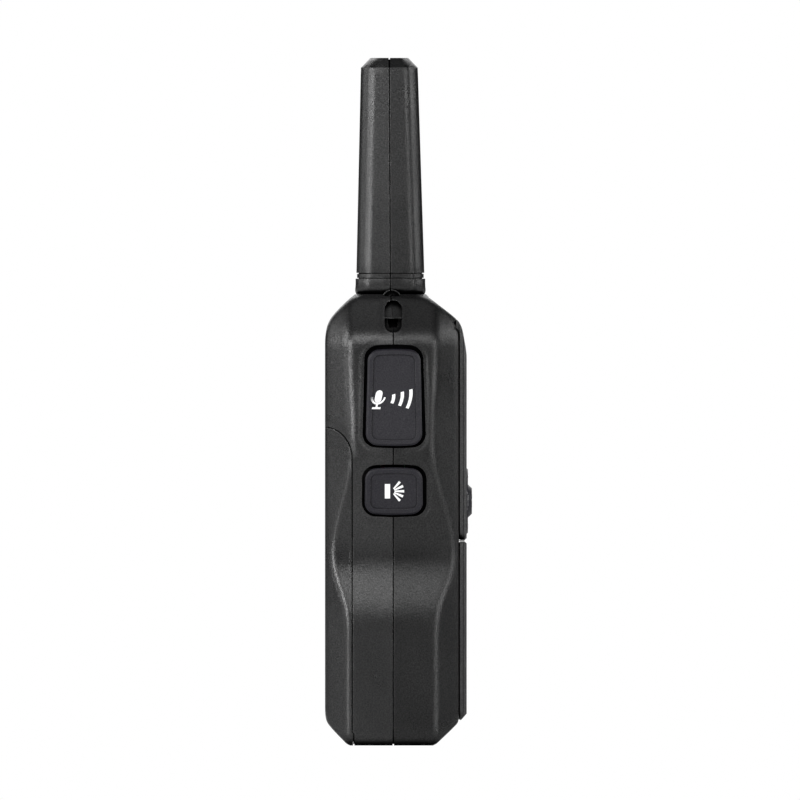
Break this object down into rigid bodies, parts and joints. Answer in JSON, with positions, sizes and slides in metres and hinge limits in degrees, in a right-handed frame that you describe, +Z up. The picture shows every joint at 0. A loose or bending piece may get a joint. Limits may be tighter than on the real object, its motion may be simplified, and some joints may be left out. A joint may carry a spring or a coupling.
{
  "type": "two way radio",
  "caption": "Handheld two way radio with a fixed stub antenna, side talk and torch buttons, front display, keys and speaker, and a slide-off battery cover.",
  "frame": {"origin": "middle of the bottom face's width, on the bottom face", "axes": "+Z up along the antenna, -Y out of the display, -X out of the talk button"},
  "size_m": [0.058, 0.0347, 0.162],
  "materials": {
    "housing_plastic": "fine grain, satin",
    "panel_plastic": "fine grain, satin",
    "button_plastic": "fine grain",
    "clear_lens": "clear, polished",
    "display_glass": "polished",
    "white_plastic": "matte",
    "circuit_board": "lacquered",
    "bright_steel": "bright",
    "copper_wire": "enamelled",
    "black_plastic": "matte",
    "soft_rubber": "matte",
    "speaker_cloth": "woven",
    "cone_paper": "matte",
    "magnet_iron": "ground",
    "wire_cover": "smooth",
    "mic_can": "satin",
    "cell_can": "printed sleeve, no lettering"
  },
  "bodies": {
    "radio": {"antenna_coil": "copper_wire", "antenna_contact": "bright_steel", "antenna_core": "black_plastic", "battery_cells": "cell_can", "battery_leads": "wire_cover", "board_screws": "bright_steel", "cell_caps": "bright_steel", "charge_socket": "black_plastic", "contact_plates": "bright_steel", "contact_springs": "bright_steel", "display_lens": "clear_lens", "face_panel": "panel_plastic", "front_housing": "housing_plastic", "grille_cloth": "speaker_cloth", "housing_screws": "bright_steel", "jack_socket": "black_plastic", "key_domes": "bright_steel", "keypad_mat": "soft_rubber", "lcd_backlight": "white_plastic", "lcd_glass": "display_glass", "light_switch": "black_plastic", "main_board": "circuit_board", "mic_boot": "soft_rubber", "microphone": "mic_can", "ptt_switch": "black_plastic", "rear_housing": "housing_plastic", "shield_can": "bright_steel", "side_switch_board": "circuit_board", "speaker_cone": "cone_paper", "speaker_frame": "bright_steel", "speaker_gasket": "soft_rubber", "speaker_grille": "panel_plastic", "speaker_leads": "wire_cover", "speaker_magnet": "magnet_iron", "torch_leads": "wire_cover", "torch_led": "white_plastic", "torch_lens": "clear_lens"},
    "ptt_button": {"ptt_button": "button_plastic"},
    "light_button": {"light_button": "button_plastic"},
    "up_key": {"up_key": "button_plastic"},
    "down_key": {"down_key": "button_plastic"},
    "menu_key": {"menu_key": "button_plastic"},
    "call_key": {"call_key": "button_plastic"},
    "centre_key": {"centre_key": "button_plastic"},
    "power_key": {"power_key": "button_plastic"},
    "scan_key": {"scan_key": "button_plastic"},
    "battery_cover": {"battery_cover": "housing_plastic"},
    "jack_cover": {"jack_cover": "soft_rubber"}
  },
  "joints": [
    {"name": "ptt_press", "type": "slide", "parent": "radio", "child": "ptt_button", "axis": [1, 0, 0], "range_m": [0, 0.0007]},
    {"name": "light_press", "type": "slide", "parent": "radio", "child": "light_button", "axis": [1, 0, 0], "range_m": [0, 0.0006]},
    {"name": "up_press", "type": "slide", "parent": "radio", "child": "up_key", "axis": [0, 1, 0], "range_m": [0, 0.0005]},
    {"name": "down_press", "type": "slide", "parent": "radio", "child": "down_key", "axis": [0, 1, 0], "range_m": [0, 0.0005]},
    {"name": "menu_press", "type": "slide", "parent": "radio", "child": "menu_key", "axis": [0, 1, 0], "range_m": [0, 0.0005]},
    {"name": "call_press", "type": "slide", "parent": "radio", "child": "call_key", "axis": [0, 1, 0], "range_m": [0, 0.0005]},
    {"name": "centre_press", "type": "slide", "parent": "radio", "child": "centre_key", "axis": [0, 1, 0], "range_m": [0, 0.0005]},
    {"name": "power_press", "type": "slide", "parent": "radio", "child": "power_key", "axis": [0, 1, 0], "range_m": [0, 0.0005]},
    {"name": "scan_press", "type": "slide", "parent": "radio", "child": "scan_key", "axis": [0, 1, 0], "range_m": [0, 0.0005]},
    {"name": "battery_cover_slide", "type": "slide", "parent": "radio", "child": "battery_cover", "axis": [0, 0, -1], "range_m": [0, 0.085]},
    {"name": "jack_cover_hinge", "type": "hinge", "parent": "radio", "child": "jack_cover", "pos_m": [0.02852, -0.005, 0.0815], "axis": [0, 0, -1], "range_deg": [0, 120]}
  ]
}
